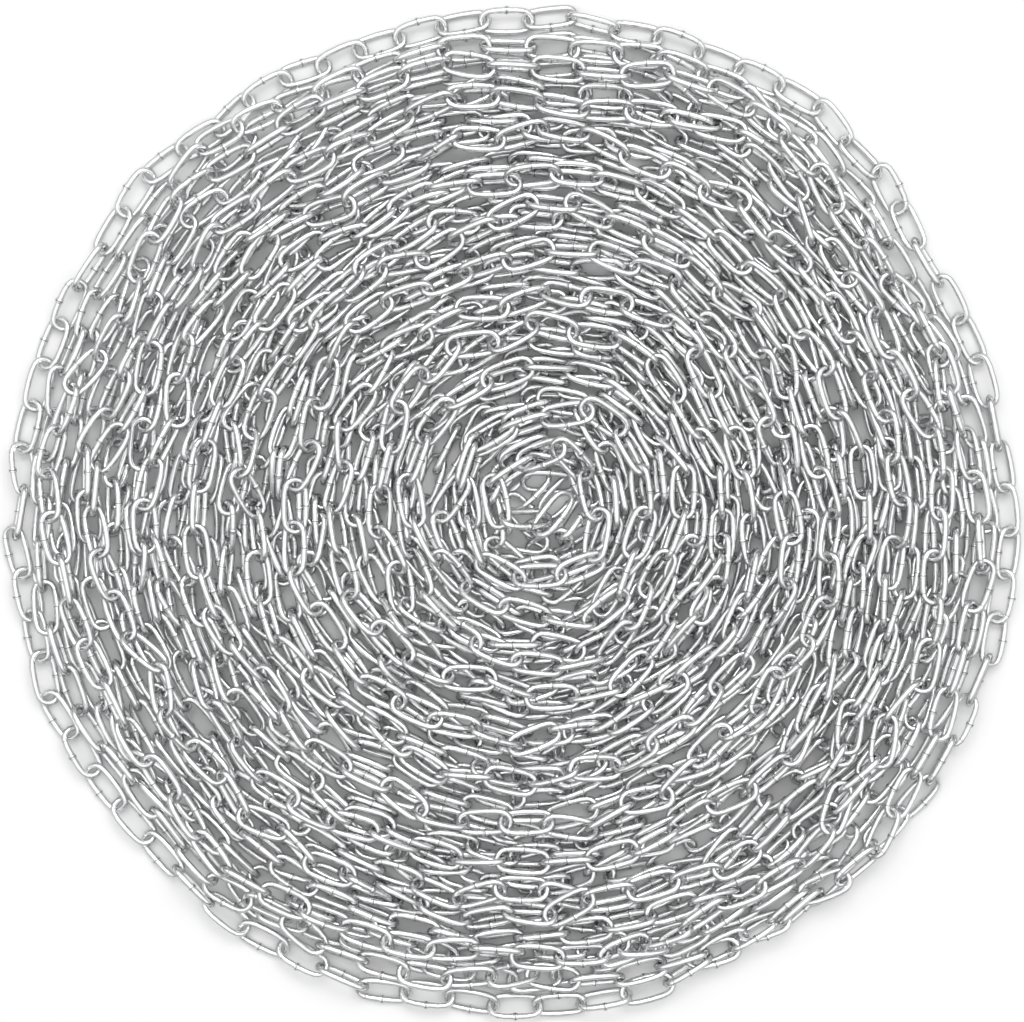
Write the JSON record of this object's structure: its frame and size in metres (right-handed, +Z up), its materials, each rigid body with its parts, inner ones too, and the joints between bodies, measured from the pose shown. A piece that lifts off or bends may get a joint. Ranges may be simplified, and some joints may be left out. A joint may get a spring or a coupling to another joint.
{
  "type": "heap of steel chain",
  "caption": "Flat round heap of bright welded steel chain, laid down in wandering turns on several layers, for stock, deck or workshop scenes.",
  "frame": {"origin": "on the floor, under the middle of the heap, at the underside of the lower layers", "axes": "+Z up, the heap's thin direction; +X to the right and +Y to the top of the picture"},
  "size_m": [0.4572, 0.4535, 0.0246],
  "materials": {
    "zinc_plated_steel": "bright zinc plate, smooth and a little satin",
    "shaded_steel": "the same plated wire, in the shade under the top strand"
  },
  "bodies": {
    "root": {"hidden_core": "shaded_steel", "turn_01": "zinc_plated_steel", "turn_02": "zinc_plated_steel", "turn_03": "zinc_plated_steel", "turn_04": "zinc_plated_steel", "turn_05": "zinc_plated_steel", "turn_06": "zinc_plated_steel", "turn_07": "zinc_plated_steel", "turn_08": "zinc_plated_steel", "turn_09": "zinc_plated_steel", "turn_10": "zinc_plated_steel", "turn_11": "zinc_plated_steel"}
  },
  "joints": []
}
